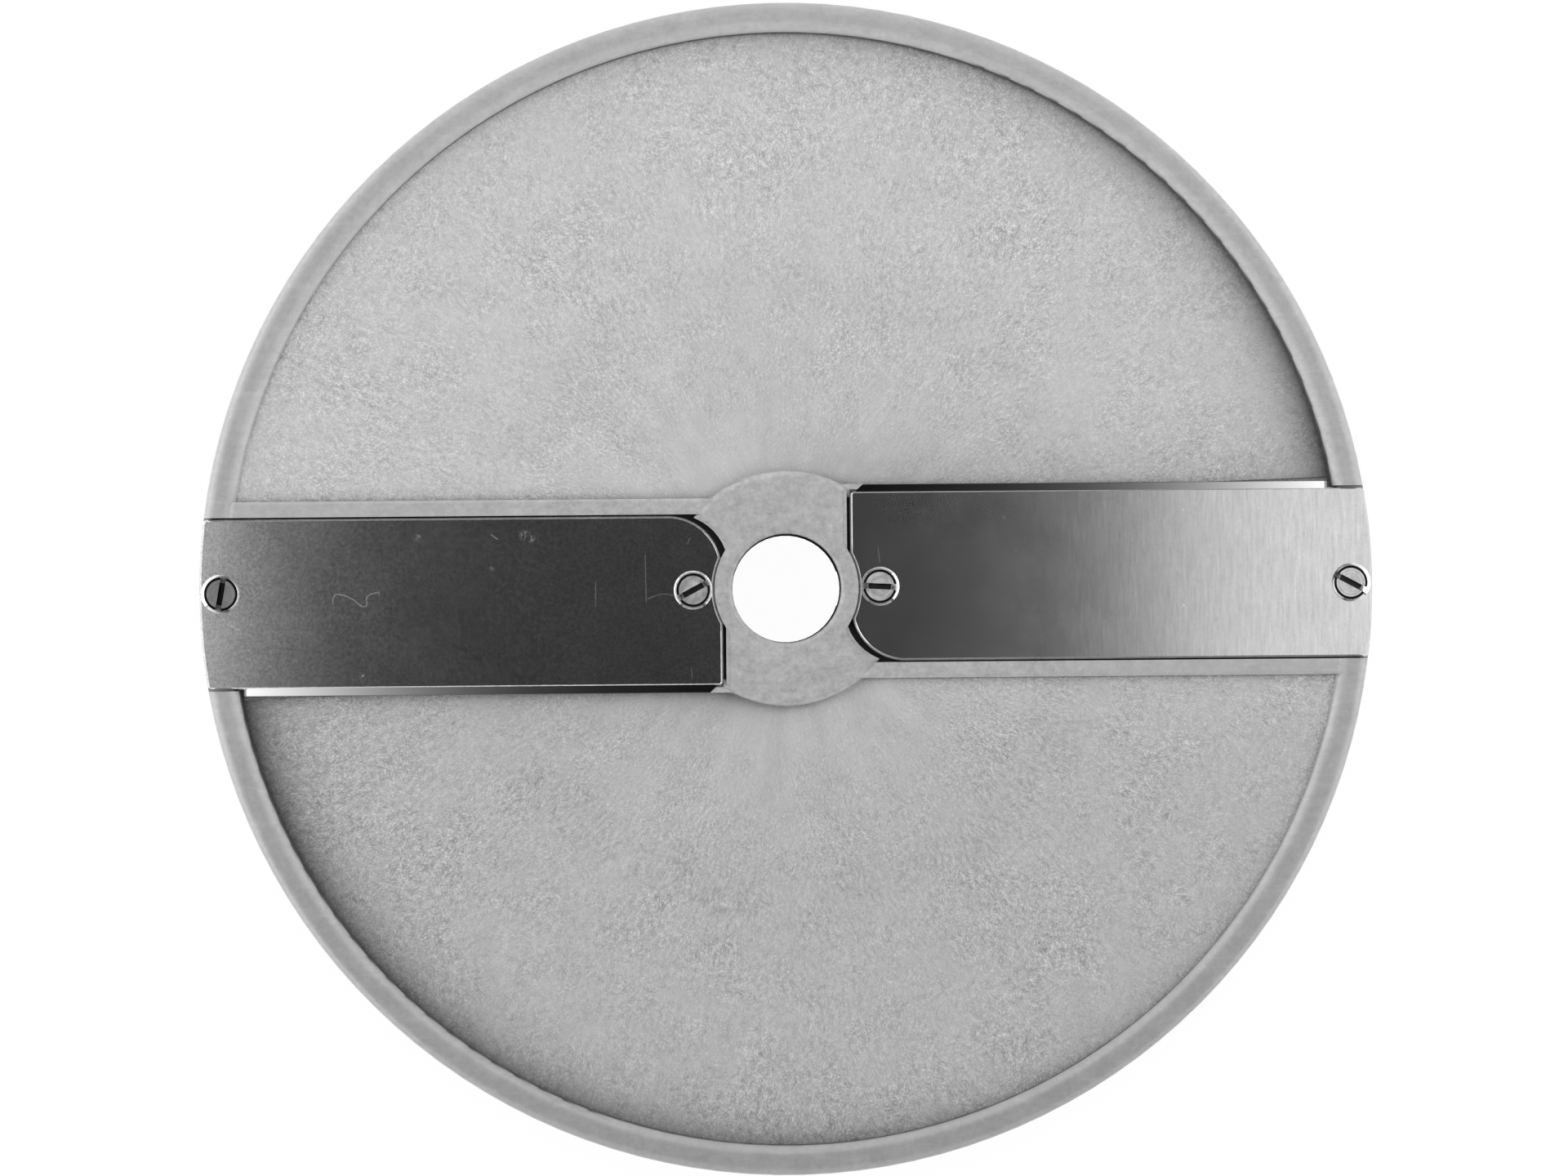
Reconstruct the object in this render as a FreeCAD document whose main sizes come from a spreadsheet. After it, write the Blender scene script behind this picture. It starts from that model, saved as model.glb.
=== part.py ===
import FreeCAD, Part
import math
import os

import Sketcher

# Slicing disc of a vegetable cutting machine: a moulded disc that carries two
# flat steel blades, each held by two countersunk screws in brass inserts.
# Millimetres. The origin is on the bore's axis, in the plane of the boss's foot
# that the disc stands on. +Z is the cutting side, and +X runs along the right blade.

os.makedirs("parts", exist_ok=True)
doc = FreeCAD.newDocument("slicing_disc")

# Driving dimensions: alias, value and meaning
SIZES = (
    ("disc_radius", 102.5, "outer radius of the rim"),
    ("rim_width", 5.25, "width of the rim seen from above"),
    ("rim_depth", 9.0, "height of the rim from its foot to the top plane"),
    ("rim_outer_round", 1.9, "rounding of the rim's outer shoulder"),
    ("rim_inner_round", 1.6, "rounding of the rim's inner shoulder"),
    ("rim_foot_round", 0.5, "rounding of the rim's two lower edges"),
    ("rim_overlap", 1.5, "how far floors, spokes and ribs run into the rim"),
    ("hub_height", 18.0, "height of the top plane above the boss's foot"),
    ("bore_radius", 9.5, "radius of the bore for the drive shaft"),
    ("bore_chamfer", 0.3, "chamfer at the bore's lower end"),
    ("bore_round", 0.8, "rounding of the bore's upper edge"),
    ("ring_wall", 3.1, "wall between the bore and the blades' round recesses"),
    ("boss_wall", 5.5, "wall of the boss below the disc"),
    ("hub_wall", 11.0, "wall of the raised hub on the cutting side"),
    ("hub_round", 1.0, "rounding of the hub's upper edge"),
    ("drive_slot_width", 6.0, "width of the slot across the boss's foot"),
    ("drive_slot_depth", 5.0, "depth of the slot across the boss's foot"),
    ("floor_thickness", 3.0, "thickness of the two sloping floors"),
    ("floor_shallow", 0.6, "depth of a floor where its slope ends at a rib"),
    ("floor_deep", 4.0, "depth of a floor at the slicing slot, a slice's thickness"),
    ("ramp_core", 1.5, "distance from a ramp's axis to the start of its floor"),
    ("spoke_depth", 8.5, "height from a spoke's foot to the top plane"),
    ("spoke_front", 9.0, "front of a spoke, behind the slicing slot"),
    ("rib_width", 2.8, "width of the rib behind a blade"),
    ("rib_round", 0.6, "rounding of the rib's edge over the floor"),
    ("web_drop", 0.2, "from the top plane down to the web between hub and slot"),
    ("blade_front", 16.92, "a blade's front before honing, from the centre line"),
    ("blade_back", 12.8, "back edge of a blade, from the disc's centre line"),
    ("blade_thickness", 2.0, "thickness of a blade"),
    ("blade_inset", 0.15, "from a blade's outer end to the disc's edge"),
    ("blade_corner", 9.4, "radius of a blade's large corner"),
    ("blade_corner_set", 8.0, "large corner's centre, outside the blade's hub arc"),
    ("blade_hub_reach", 1.53, "how far a blade's straight end passes its hub arc"),
    ("blade_small_corner", 0.8, "radius of a blade's other corners"),
    ("blade_edge_break", 0.4, "chamfer round a blade's top, which hones its edge"),
    ("bevel_width", 4.4, "width of the bevel under the cutting edge"),
    ("edge_land", 0.08, "thickness left at the cutting edge"),
    ("ring_gap", 0.1, "gap between a blade's hub arc and the hub"),
    ("pocket_gap", 0.25, "gap along a blade's straight edges"),
    ("pocket_end_gap", 0.57, "gap at a blade's straight hub end"),
    ("pocket_corner_gap", 1.2, "shift of the pocket's large corner"),
    ("fill_length", 2.2, "length of the slope that fills the gap at a blade's front corner"),
    ("fill_clearance", 0.06, "gap between that slope and the blade"),
    ("step_width", 0.7, "width of the shallow step around a pocket"),
    ("step_depth", 0.12, "depth of the shallow step around a pocket"),
    ("slot_gap", 1.2, "slicing slot between the cutting edge and the floor's lip"),
    ("slot_hub_web", 0.62, "web between the hub and the slot at the cutting edge"),
    ("slot_slant", 1.3, "how far the slot's hub end slants outwards"),
    ("slot_rim_web", 0.5, "web between the slot's outer end and the rim"),
    ("lip_strip_length", 20.0, "length of the lowered strip at the lip's outer end"),
    ("lip_strip_width", 0.7, "width of that strip at its outer end"),
    ("lip_strip_depth", 0.5, "depth of that strip below the floor"),
    ("screw_line", 0.2, "screws, from the disc's centre line towards the edge"),
    ("inner_screw_set", 3.6, "inner screw, outside the blade's hub arc"),
    ("outer_screw_set", 3.7, "outer screw, inside the blade's outer end"),
    ("head_radius", 2.7, "radius of a screw's head"),
    ("head_edge", 0.15, "height of the head's cylindrical edge"),
    ("head_recess", 0.5, "from the blade's face down to the head"),
    ("screw_slot_width", 1.0, "width of the slot in a head"),
    ("screw_slot_depth", 0.75, "depth of the slot in a head"),
    ("screw_radius", 1.5, "radius of a screw's shank"),
    ("screw_length", 6.0, "length of a screw with its head"),
    ("screw_point", 0.3, "chamfer of a screw's lower end"),
    ("shank_clearance", 0.2, "gap between a shank and the blade's hole"),
    ("seat_clearance", 0.03, "gap between a head and its countersink"),
    ("insert_radius", 2.3, "outer radius of a threaded insert"),
    ("insert_length", 4.3, "length of a threaded insert"),
    ("insert_waist_depth", 0.35, "depth of the groove round an insert"),
    ("insert_waist_height", 1.1, "height of the groove round an insert"),
    ("insert_chamfer", 0.25, "chamfer at the ends of an insert's bore"),
    ("insert_clearance", 0.02, "gap between an insert and the moulding"),
    ("insert_hole_end", 0.5, "room below an insert"),
    ("thread_clearance", 0.05, "gap between a shank and its insert"),
)

sheet = doc.addObject("Spreadsheet::Sheet", "Sizes")
for row, (alias, value, meaning) in enumerate(SIZES, start=1):
    sheet.set(f"A{row}", meaning)
    sheet.set(f"B{row}", str(value))
    sheet.setAlias(f"B{row}", alias)
doc.recompute()


# Lengths that follow from the sheet, as expressions
def sized(text):
    """Puts the sheet's name before each alias of an expression."""
    for alias, value, meaning in sorted(SIZES, key=lambda size: -len(size[0])):
        text = text.replace(f"<{alias}>", f"Sizes.{alias}")
    return f"({text})"


TOP = sized("<hub_height>")
SEAT = sized("<hub_height> - <blade_thickness>")
RIM_FOOT = sized("<hub_height> - <rim_depth>")
RIM_INNER = sized("<disc_radius> - <rim_width>")
RIM_JOIN = sized("<disc_radius> - <rim_width> + <rim_overlap>")
BOSS = sized("<bore_radius> + <boss_wall>")
HUB = sized("<bore_radius> + <hub_wall>")
RING = sized("<bore_radius> + <ring_wall>")
HUB_ARC = sized("<bore_radius> + <ring_wall> + <ring_gap>")
BLADE_REACH = sized("<disc_radius> - <blade_inset>")
BLADE_FRONT = sized("<blade_front>")
BLADE_BACK = sized("-<blade_back>")
BLADE_HUB_EDGE = f"({HUB_ARC} - Sizes.blade_hub_reach)"
BLADE_CORNER_X = f"({HUB_ARC} + Sizes.blade_corner_set)"
POCKET_FRONT = sized("<blade_front> + <pocket_gap>")
POCKET_BACK = sized("-<blade_back> - <pocket_gap>")
POCKET_HUB_EDGE = f"({BLADE_HUB_EDGE} - Sizes.pocket_end_gap)"
POCKET_CORNER_X = f"({BLADE_CORNER_X} - Sizes.pocket_corner_gap)"
STEP_HUB_EDGE = f"({POCKET_HUB_EDGE} - Sizes.step_width)"
STEP_CORNER_X = f"({POCKET_CORNER_X} - Sizes.step_width)"
RIB_EDGE = f"({POCKET_BACK} - Sizes.rib_width)"
RAMP_AXIS = f"(-{POCKET_BACK} + Sizes.rib_width / 2)"
SPOKE_FOOT = sized("<hub_height> - <spoke_depth>")
LIP = sized("<blade_front> + <slot_gap>")
SLOT_START = f"(sqrt({HUB} ^ 2 - {BLADE_FRONT} ^ 2) + Sizes.slot_hub_web)"
SLOT_END = f"(sqrt({RIM_INNER} ^ 2 - {LIP} ^ 2) - Sizes.slot_rim_web)"
INNER_SCREW_X = f"({HUB_ARC} + Sizes.inner_screw_set)"
OUTER_SCREW_X = f"({BLADE_REACH} - Sizes.outer_screw_set)"
SCREW_LINE = sized("<screw_line>")
HEAD_TOP = sized("<hub_height> - <head_recess>")
SINK_RADIUS = sized("<head_radius> + <head_edge> + <head_recess> + <seat_clearance>")
INSERT_HOLE_DEPTH = sized("<insert_length> + <insert_hole_end>")


def worth(expression):
    """Value of an expression, in millimetres."""
    return float(sheet.evalExpression(expression))


# Sketching
def new_body(label):
    body = doc.addObject("PartDesign::Body", label)
    body.Label = label
    return body


def origin_feature(body, role):
    """The body's own origin plane or axis of that role."""
    for feature in body.Origin.OriginFeatures:
        if feature.Role == role:
            return feature
    raise ValueError(f"{body.Label} has no {role}")


def new_sketch(body, name, role, offset="0"):
    """Sketch on an origin plane of the body, moved by offset along the plane's normal."""
    sketch = body.newObject("Sketcher::SketchObject", f"{body.Label}_{name}")
    sketch.AttachmentSupport = [(origin_feature(body, role), "")]
    sketch.MapMode = "FlatFace"
    if offset != "0":
        sketch.setExpression("AttachmentOffset.Base.z", offset)
    doc.recompute()
    return sketch


def bind(sketch, kind, target, expression):
    """Adds a constraint and ties its value to the sheet."""
    index = sketch.addConstraint(Sketcher.Constraint(kind, *target, worth(expression)))
    sketch.setExpression(f"Constraints[{index}]", expression)


def pin_point(sketch, geometry, end, x, y):
    """Ties an end of a line or arc to a place that the sheet gives."""
    origin, x_axis, y_axis = (-1, 1), -1, -2
    if x == "0":
        sketch.addConstraint(Sketcher.Constraint("PointOnObject", geometry, end, y_axis))
    else:
        bind(sketch, "DistanceX", (*origin, geometry, end), x)
    if y == "0":
        sketch.addConstraint(Sketcher.Constraint("PointOnObject", geometry, end, x_axis))
    else:
        bind(sketch, "DistanceY", (*origin, geometry, end), y)


def place(x, y):
    return FreeCAD.Vector(worth(x), worth(y), 0)


def axis_step(start, end, size):
    """Expressions that step by size from start towards end, along X or Y."""
    gap = place(*end) - place(*start)
    x, y = start
    if abs(gap.x) > abs(gap.y):
        return (f"({x} {'+' if gap.x > 0 else '-'} {size})", y)
    return (x, f"({y} {'+' if gap.y > 0 else '-'} {size})")


def draw_outline(sketch, corners):
    """Closed outline through corners (x, y) or, on square corners, (x, y, rounding)."""
    edges = []
    points = []
    for number, corner in enumerate(corners):
        here = corner[:2]
        if len(corner) == 2:
            points.append((here, None))
            continue
        before = corners[number - 1][:2]
        after = corners[(number + 1) % len(corners)][:2]
        points.append((axis_step(here, before, corner[2]), (here, corner[2])))
        points.append((axis_step(here, after, corner[2]), None))
    for number, (start, arc) in enumerate(points):
        end = points[(number + 1) % len(points)][0]
        edges.append((start, end, arc))
    for start, end, arc in edges:
        if arc is None:
            line = sketch.addGeometry(Part.LineSegment(place(*start), place(*end)))
            pin_point(sketch, line, 1, *start)
            pin_point(sketch, line, 2, *end)
        else:
            draw_rounding(sketch, start, end, *arc)


def draw_rounding(sketch, start, end, corner, radius):
    """Quarter arc from start to end that rounds a square corner."""
    first, last, tip = place(*start), place(*end), place(*corner)
    centre = first + last - tip
    turn = (tip - first).cross(last - tip).z
    ends = (start, end) if turn > 0 else (end, start)
    angles = [math.atan2(p.y - centre.y, p.x - centre.x) for p in (place(*e) for e in ends)]
    circle = Part.Circle(centre, FreeCAD.Vector(0, 0, 1), worth(radius))
    arc = sketch.addGeometry(Part.ArcOfCircle(circle, *angles))
    pin_point(sketch, arc, 1, *ends[0])
    pin_point(sketch, arc, 2, *ends[1])
    bind(sketch, "Radius", (arc,), radius)


def draw_circle(sketch, x, y, radius):
    centre = place(x, y)
    circle = Part.Circle(centre, FreeCAD.Vector(0, 0, 1), worth(radius))
    geometry = sketch.addGeometry(circle)
    pin_point(sketch, geometry, 3, x, y)
    bind(sketch, "Radius", (geometry,), radius)


def circle_meeting(centre, radius, ring):
    """Where a circle meets a ring about the origin, on the side away from the edge."""
    distance = centre.Length
    along = (ring**2 - radius**2 + distance**2) / (2 * distance)
    across = math.sqrt(ring**2 - along**2)
    way = FreeCAD.Vector(centre).normalize()
    return way * along + FreeCAD.Vector(way.y, -way.x, 0) * across


def draw_blade_shape(sketch, front, back, hub_edge, corner_x, ring, reach):
    """Blade outline: two straight long edges, a round outer end, and a hub end with
    a straight stretch, an arc round the hub and a large corner."""
    corner_radius = sized("<blade_corner>")
    corner = FreeCAD.Vector(worth(corner_x), worth(f"{back} + {corner_radius}"), 0)
    y_front, y_back, x_hub = worth(front), worth(back), worth(hub_edge)
    ring_size, reach_size, corner_size = worth(ring), worth(reach), worth(corner_radius)
    front_hub = FreeCAD.Vector(x_hub, y_front, 0)
    front_out = FreeCAD.Vector(math.sqrt(reach_size**2 - y_front**2), y_front, 0)
    back_out = FreeCAD.Vector(math.sqrt(reach_size**2 - y_back**2), y_back, 0)
    back_hub = FreeCAD.Vector(corner.x, y_back, 0)
    cusp = circle_meeting(corner, corner_size, ring_size)
    hub_turn = FreeCAD.Vector(x_hub, math.sqrt(ring_size**2 - x_hub**2), 0)

    def arc(centre, radius, start, end):
        circle = Part.Circle(centre, FreeCAD.Vector(0, 0, 1), radius)
        angles = [math.atan2(p.y - centre.y, p.x - centre.x) for p in (start, end)]
        return sketch.addGeometry(Part.ArcOfCircle(circle, *angles))

    origin = FreeCAD.Vector(0, 0, 0)
    edge = sketch.addGeometry(Part.LineSegment(front_hub, front_out))
    end = arc(origin, reach_size, back_out, front_out)
    spine = sketch.addGeometry(Part.LineSegment(back_out, back_hub))
    big = arc(corner, corner_size, cusp, back_hub)
    hollow = arc(origin, ring_size, cusp, hub_turn)
    stretch = sketch.addGeometry(Part.LineSegment(hub_turn, front_hub))

    joints = (
        (edge, 2, end, 2),
        (end, 1, spine, 1),
        (big, 1, hollow, 1),
        (hollow, 2, stretch, 1),
        (stretch, 2, edge, 1),
        (end, 3, -1, 1),
        (hollow, 3, -1, 1),
    )
    for joint in joints:
        sketch.addConstraint(Sketcher.Constraint("Coincident", *joint))
    sketch.addConstraint(Sketcher.Constraint("Horizontal", edge))
    sketch.addConstraint(Sketcher.Constraint("Horizontal", spine))
    sketch.addConstraint(Sketcher.Constraint("Vertical", stretch))
    sketch.addConstraint(Sketcher.Constraint("Tangent", spine, 2, big, 2))
    bind(sketch, "Radius", (end,), reach)
    bind(sketch, "Radius", (big,), corner_radius)
    bind(sketch, "Radius", (hollow,), ring)
    bind(sketch, "DistanceY", (-1, 1, edge, 1), front)
    bind(sketch, "DistanceY", (-1, 1, spine, 1), back)
    bind(sketch, "DistanceX", (-1, 1, stretch, 1), hub_edge)
    bind(sketch, "DistanceX", (-1, 1, big, 3), corner_x)


# Features
def add_pad(body, name, sketch, length):
    pad = body.newObject("PartDesign::Pad", f"{body.Label}_{name}")
    pad.Profile = sketch
    pad.setExpression("Length", length)
    doc.recompute()
    return pad


def add_pocket(body, name, sketch, depth=None, upward=False):
    """Pocket down from its sketch, or up where the sketch lies below the solid."""
    volume = body.Shape.Volume
    pocket = body.newObject("PartDesign::Pocket", f"{body.Label}_{name}")
    pocket.Profile = sketch
    pocket.Reversed = upward
    if depth is None:
        pocket.Type = "ThroughAll"
    else:
        pocket.setExpression("Length", depth)
    doc.recompute()
    if not body.Shape.Volume < volume:
        raise ValueError(f"{pocket.Label} cuts nothing")
    return pocket


def add_turned(body, kind, name, sketch):
    """Revolution or Groove about the sketch's upright axis."""
    turned = body.newObject(f"PartDesign::{kind}", f"{body.Label}_{name}")
    turned.Profile = sketch
    turned.ReferenceAxis = (sketch, ["V_Axis"])
    turned.Angle = 360
    doc.recompute()
    return turned


def repeat_opposite(body, name, features):
    """Repeats features half a turn round the body's Z axis."""
    pattern = body.newObject("PartDesign::PolarPattern", f"{body.Label}_{name}")
    pattern.Originals = features
    pattern.Axis = (origin_feature(body, "Z_Axis"), [""])
    pattern.Angle = 360
    pattern.Occurrences = 2
    body.Tip = pattern
    doc.recompute()
    return pattern


# Moulded disc
def add_hub(body):
    section = new_sketch(body, "hub_section", "XZ_Plane")
    draw_outline(section, (
        ("0", "0"),
        (BOSS, "0"),
        (BOSS, RIM_FOOT),
        (HUB, RIM_FOOT),
        (HUB, TOP, sized("<hub_round>")),
        ("0", TOP),
    ))
    add_turned(body, "Revolution", "hub", section)


def add_floors(body):
    """Two floors that climb from a slicing slot to the opposite rib, half a turn on."""
    section = new_sketch(body, "floor_section", "XZ_Plane", f"-{RAMP_AXIS}")
    upper = sized("<hub_height> - <floor_deep>")
    lower = sized("<hub_height> - <floor_deep> - <floor_thickness>")
    core = sized("<ramp_core>")
    span = sized("<disc_radius>")
    draw_outline(section, ((core, lower), (span, lower), (span, upper), (core, upper)))
    ramp = body.newObject("PartDesign::AdditiveHelix", f"{body.Label}_ramp")
    ramp.Profile = section
    ramp.ReferenceAxis = (section, ["V_Axis"])
    ramp.Mode = "height-turns-angle"
    ramp.Turns = 0.5
    ramp.setExpression("Height", sized("<floor_deep> - <floor_shallow>"))
    doc.recompute()
    repeat_opposite(body, "ramps", [ramp])
    trim = new_sketch(body, "floor_trim", "XY_Plane")
    draw_circle(trim, "0", "0", RIM_JOIN)
    draw_circle(trim, "0", "0", sized("2 * <disc_radius>"))
    add_pocket(body, "round_floors", trim, upward=True)


def add_spokes(body):
    """A spoke under each blade, with the raised rib along the blade's back and the
    web that joins the hub to the slicing slot's inner end."""
    spoke_plan = new_sketch(body, "spoke_plan", "XY_Plane", SPOKE_FOOT)
    draw_outline(spoke_plan, (
        ("0", RIB_EDGE),
        (RIM_JOIN, RIB_EDGE),
        (RIM_JOIN, BLADE_FRONT),
        ("0", BLADE_FRONT),
    ))
    spoke = add_pad(body, "spoke", spoke_plan, f"{SEAT} - {SPOKE_FOOT}")
    rib_section = new_sketch(body, "rib_section", "YZ_Plane")
    draw_outline(rib_section, (
        (RIB_EDGE, SPOKE_FOOT),
        (POCKET_BACK, SPOKE_FOOT),
        (POCKET_BACK, TOP),
        (RIB_EDGE, TOP, sized("<rib_round>")),
    ))
    rib = add_pad(body, "rib", rib_section, RIM_JOIN)
    web_plan = new_sketch(body, "web_plan", "XY_Plane", SPOKE_FOOT)
    web_end = f"({SLOT_START} + 2 * Sizes.slot_slant)"
    draw_outline(web_plan, (
        ("0", sized("<spoke_front>")),
        (web_end, sized("<spoke_front>")),
        (web_end, LIP),
        ("0", LIP),
    ))
    web = add_pad(body, "web", web_plan, sized("<spoke_depth> - <web_drop>"))
    repeat_opposite(body, "spokes", [spoke, rib, web])


def add_rim(body):
    section = new_sketch(body, "rim_section", "XZ_Plane")
    foot_round = sized("<rim_foot_round>")
    draw_outline(section, (
        (RIM_INNER, RIM_FOOT, foot_round),
        (sized("<disc_radius>"), RIM_FOOT, foot_round),
        (sized("<disc_radius>"), TOP, sized("<rim_outer_round>")),
        (RIM_INNER, TOP, sized("<rim_inner_round>")),
    ))
    add_turned(body, "Revolution", "rim", section)


def ring_edges(shape, radius, level, reach=0.01):
    """Names of the round edges of that radius at that height."""
    names = []
    for number, edge in enumerate(shape.Edges, start=1):
        if not isinstance(edge.Curve, Part.Circle) or abs(edge.Curve.Radius - radius) > reach:
            continue
        if abs(edge.BoundBox.ZMin - level) < reach and abs(edge.BoundBox.ZMax - level) < reach:
            names.append(f"Edge{number}")
    return names


def cut_bore(body):
    """Bore with a chamfered foot and a rounded upper edge."""
    section = new_sketch(body, "bore_section", "XZ_Plane")
    radius = sized("<bore_radius>")
    draw_outline(section, (
        ("0", "0"),
        (sized("<bore_radius> + <bore_chamfer>"), "0"),
        (radius, sized("<bore_chamfer>")),
        (radius, TOP),
        ("0", TOP),
    ))
    bore = add_turned(body, "Groove", "bore", section)
    mouth = body.newObject("PartDesign::Fillet", f"{body.Label}_bore_mouth")
    mouth.Base = (bore, ring_edges(bore.Shape, worth(radius), worth(TOP)))
    mouth.setExpression("Radius", sized("<bore_round>"))
    doc.recompute()


def cut_blade_places(body):
    """Pockets for the blades, the slicing slots beside them and the insert holes."""
    beyond = sized("<disc_radius> + <rim_width>")
    plan = new_sketch(body, "pocket_plan", "XY_Plane", TOP)
    draw_blade_shape(
        plan, POCKET_FRONT, POCKET_BACK, POCKET_HUB_EDGE, POCKET_CORNER_X, RING, beyond
    )
    pocket = add_pocket(body, "pocket", plan, sized("<blade_thickness>"))

    fill_section = new_sketch(body, "fill_section", "YZ_Plane", STEP_HUB_EDGE)
    draw_outline(fill_section, (
        (f"({POCKET_FRONT} - Sizes.fill_length)", SEAT),
        (POCKET_FRONT, SEAT),
        (POCKET_FRONT, f"({TOP} - Sizes.step_depth)"),
    ))
    fill_reach = sized("<step_width> + <pocket_end_gap> - <fill_clearance>")
    fill = add_pad(body, "corner_fill", fill_section, fill_reach)

    step_plan = new_sketch(body, "step_plan", "XY_Plane", TOP)
    draw_blade_shape(
        step_plan, POCKET_FRONT, POCKET_BACK, STEP_HUB_EDGE, STEP_CORNER_X, RING, beyond
    )
    step = add_pocket(body, "step", step_plan, sized("<step_depth>"))

    slot_plan = new_sketch(body, "slot_plan", "XY_Plane", TOP)
    draw_outline(slot_plan, (
        (SLOT_START, sized("<spoke_front>")),
        (SLOT_END, sized("<spoke_front>")),
        (SLOT_END, LIP),
        (f"({SLOT_START} + Sizes.slot_slant)", LIP),
        (SLOT_START, BLADE_FRONT),
    ))
    slot = add_pocket(body, "slot", slot_plan)

    strip_plan = new_sketch(body, "lip_strip_plan", "XY_Plane", TOP)
    draw_outline(strip_plan, (
        (f"({SLOT_END} - Sizes.lip_strip_length)", LIP),
        (SLOT_END, LIP),
        (SLOT_END, f"({LIP} + Sizes.lip_strip_width)"),
    ))
    strip = add_pocket(body, "lip_strip", strip_plan, sized("<floor_deep> + <lip_strip_depth>"))

    hole_plan = new_sketch(body, "insert_hole_plan", "XY_Plane", SEAT)
    hole_radius = sized("<insert_radius> + <insert_clearance>")
    draw_circle(hole_plan, INNER_SCREW_X, SCREW_LINE, hole_radius)
    draw_circle(hole_plan, OUTER_SCREW_X, SCREW_LINE, hole_radius)
    holes = add_pocket(body, "insert_holes", hole_plan, INSERT_HOLE_DEPTH)
    repeat_opposite(body, "blade_places", [pocket, fill, step, slot, strip, holes])


def cut_drive_slot(body):
    """Slot across the boss's foot for the drive pin."""
    plan = new_sketch(body, "drive_slot_plan", "XY_Plane")
    side = sized("<drive_slot_width> / 2")
    draw_outline(plan, (
        (f"(-{HUB})", f"(-{side})"),
        (HUB, f"(-{side})"),
        (HUB, side),
        (f"(-{HUB})", side),
    ))
    add_pocket(body, "drive_slot", plan, sized("<drive_slot_depth>"), upward=True)


def make_disc():
    body = new_body("disc_body")
    add_hub(body)
    add_floors(body)
    add_spokes(body)
    add_rim(body)
    cut_bore(body)
    cut_blade_places(body)
    cut_drive_slot(body)
    return body


# Blades
def upright_edges(shape, places, reach=0.01):
    """Names of the upright edges that stand at the given places."""
    names = []
    for number, edge in enumerate(shape.Edges, start=1):
        foot, head = edge.Vertexes[0].Point, edge.Vertexes[-1].Point
        if abs(foot.x - head.x) > reach or abs(foot.y - head.y) > reach:
            continue
        if any(math.hypot(foot.x - p.x, foot.y - p.y) < reach for p in places):
            names.append(f"Edge{number}")
    return names


def top_rim_edges(shape, level, reach=0.01):
    """Names of the edges round a plate's top."""
    names = []
    for number, edge in enumerate(shape.Edges, start=1):
        if edge.BoundBox.ZMin > level - reach:
            names.append(f"Edge{number}")
    return names


def make_blade(label, turn):
    body = new_body(label)
    plan = new_sketch(body, "plan", "XY_Plane", SEAT)
    draw_blade_shape(
        plan, BLADE_FRONT, BLADE_BACK, BLADE_HUB_EDGE, BLADE_CORNER_X, HUB_ARC, BLADE_REACH
    )
    plate = add_pad(body, "plate", plan, sized("<blade_thickness>"))

    reach, front, back = worth(BLADE_REACH), worth(BLADE_FRONT), worth(BLADE_BACK)
    corners = (
        FreeCAD.Vector(worth(BLADE_HUB_EDGE), front, 0),
        FreeCAD.Vector(math.sqrt(reach**2 - front**2), front, 0),
        FreeCAD.Vector(math.sqrt(reach**2 - back**2), back, 0),
    )
    rounds = body.newObject("PartDesign::Fillet", f"{label}_corners")
    rounds.Base = (plate, upright_edges(plate.Shape, corners))
    rounds.setExpression("Radius", sized("<blade_small_corner>"))
    doc.recompute()

    broken = body.newObject("PartDesign::Chamfer", f"{label}_broken_edges")
    broken.Base = (rounds, top_rim_edges(rounds.Shape, worth(TOP)))
    broken.setExpression("Size", sized("<blade_edge_break>"))
    doc.recompute()

    bevel_section = new_sketch(body, "bevel_section", "YZ_Plane")
    draw_outline(bevel_section, (
        (BLADE_FRONT, SEAT),
        (f"({BLADE_FRONT} + Sizes.bevel_width)", SEAT),
        (f"({BLADE_FRONT} + Sizes.bevel_width)", f"({TOP} - Sizes.edge_land)"),
        (BLADE_FRONT, f"({TOP} - Sizes.edge_land)"),
        (f"({BLADE_FRONT} - Sizes.bevel_width)", SEAT),
    ))
    add_pocket(body, "bevel", bevel_section, upward=True)

    hole_plan = new_sketch(body, "hole_plan", "XY_Plane", TOP)
    hole_radius = sized("<screw_radius> + <shank_clearance>")
    draw_circle(hole_plan, INNER_SCREW_X, SCREW_LINE, hole_radius)
    draw_circle(hole_plan, OUTER_SCREW_X, SCREW_LINE, hole_radius)
    holes = body.newObject("PartDesign::Hole", f"{label}_holes")
    holes.Profile = hole_plan
    doc.recompute()
    holes.ThreadType = "None"
    holes.DepthType = "ThroughAll"
    holes.HoleCutType = "Countersink"
    holes.HoleCutCustomValues = True
    holes.setExpression("Diameter", f"2 * {hole_radius}")
    holes.setExpression("HoleCutDiameter", f"2 * {SINK_RADIUS}")
    holes.HoleCutCountersinkAngle = 90
    doc.recompute()
    body.Placement.Rotation = FreeCAD.Rotation(FreeCAD.Vector(0, 0, 1), turn)
    return body


# Screws and inserts
def at_station(body, turn, station_x, level, spin):
    """Puts a body on a screw's axis, half a turn on for the left blade."""
    sign = "-" if turn else ""
    body.setExpression("Placement.Base.x", f"{sign}{station_x}")
    body.setExpression("Placement.Base.y", f"{sign}{SCREW_LINE}")
    body.setExpression("Placement.Base.z", level)
    body.Placement.Rotation = FreeCAD.Rotation(FreeCAD.Vector(0, 0, 1), spin)


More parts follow.
